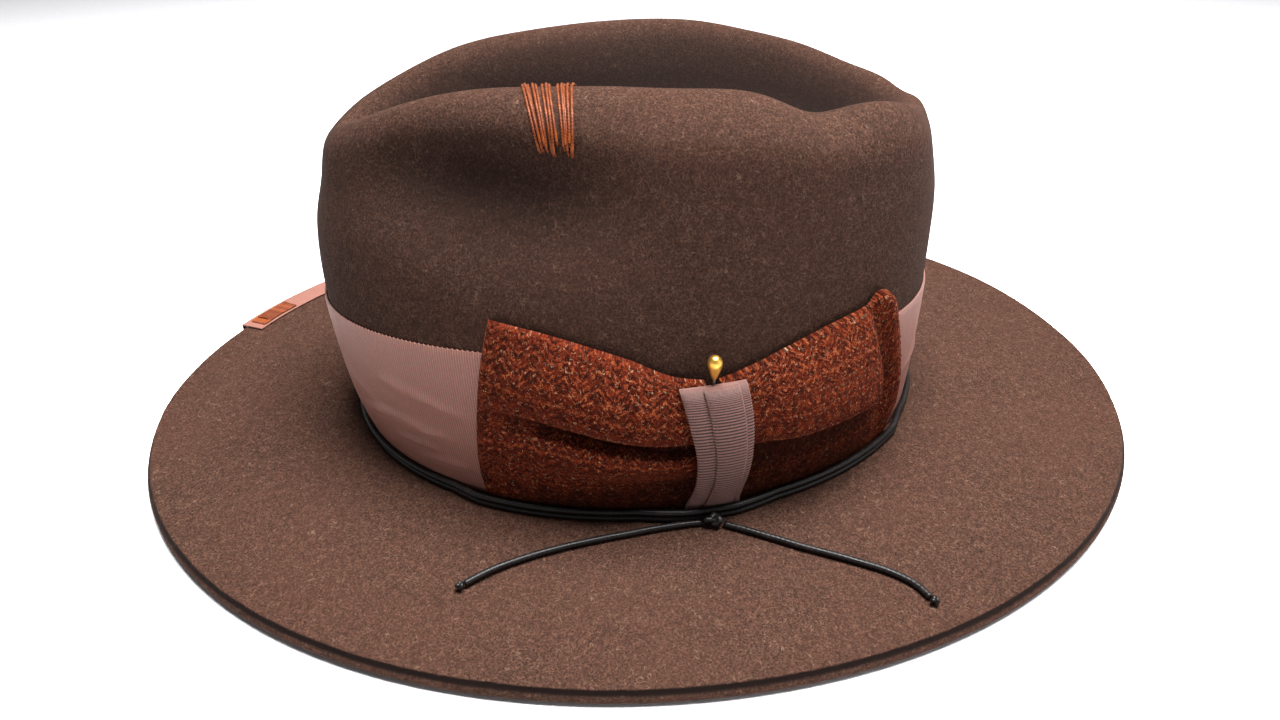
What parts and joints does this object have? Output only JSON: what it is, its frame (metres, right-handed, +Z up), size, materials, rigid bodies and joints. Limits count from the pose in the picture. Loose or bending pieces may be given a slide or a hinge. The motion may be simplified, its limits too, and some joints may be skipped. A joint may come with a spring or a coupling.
{
  "type": "fedora hat",
  "caption": "Teardrop-crown felt fedora with ribbon band, tweed bow, ribbon knot, waxed cord, hat pin, ridge stitches, brim binding, leather sweatband and lining.",
  "frame": {"origin": "on the table plane, at the middle of the brim's length and width", "axes": "+Z up, -Y towards the front of the hat, +X towards the wearer's left, which is the bow's side"},
  "size_m": [0.3154, 0.372, 0.1323],
  "materials": {
    "felt": "taupe-brown beaver felt with a short mixed nap",
    "grosgrain": "dusty rose-brown grosgrain ribbon with fine cross ribs",
    "tweed": "rust and dark brown herringbone wool tweed, slightly fuzzy",
    "waxed_cord": "near-black braided cord, waxed, with a low sheen",
    "brass": "polished gold-coloured brass",
    "steel": "drawn steel wire",
    "thread": "rust-orange stranded thread with a soft sheen",
    "leather": "smooth brown sweatband leather",
    "reed": "plain plastic reed",
    "satin": "dark brown lining satin"
  },
  "bodies": {
    "hat": {"felt_body": "felt", "hatband_ribbon": "grosgrain", "bow_front_wing": "tweed", "bow_rear_wing": "tweed", "bow_knot_ribbon": "grosgrain", "cord_lower_turn": "waxed_cord", "cord_upper_turn": "waxed_cord", "cord_knot": "waxed_cord", "cord_tail_front": "waxed_cord", "cord_tail_rear": "waxed_cord", "cord_front_end_knot": "waxed_cord", "cord_rear_end_knot": "waxed_cord", "ridge_stitch_front": "thread", "ridge_stitch_middle": "thread", "ridge_stitch_rear": "thread", "brim_binding": "grosgrain", "binding_stitch": "thread", "sweatband": "leather", "sweatband_reed": "reed", "sweatband_bow": "grosgrain", "lining_side": "satin", "lining_tip": "satin"},
    "hat_pin": {"pin_head": "brass", "pin_shank": "steel"}
  },
  "joints": [
    {"name": "pin_pull", "type": "slide", "parent": "hat", "child": "hat_pin", "axis": [0, 0, 1], "range_m": [0, 0.04]}
  ]
}
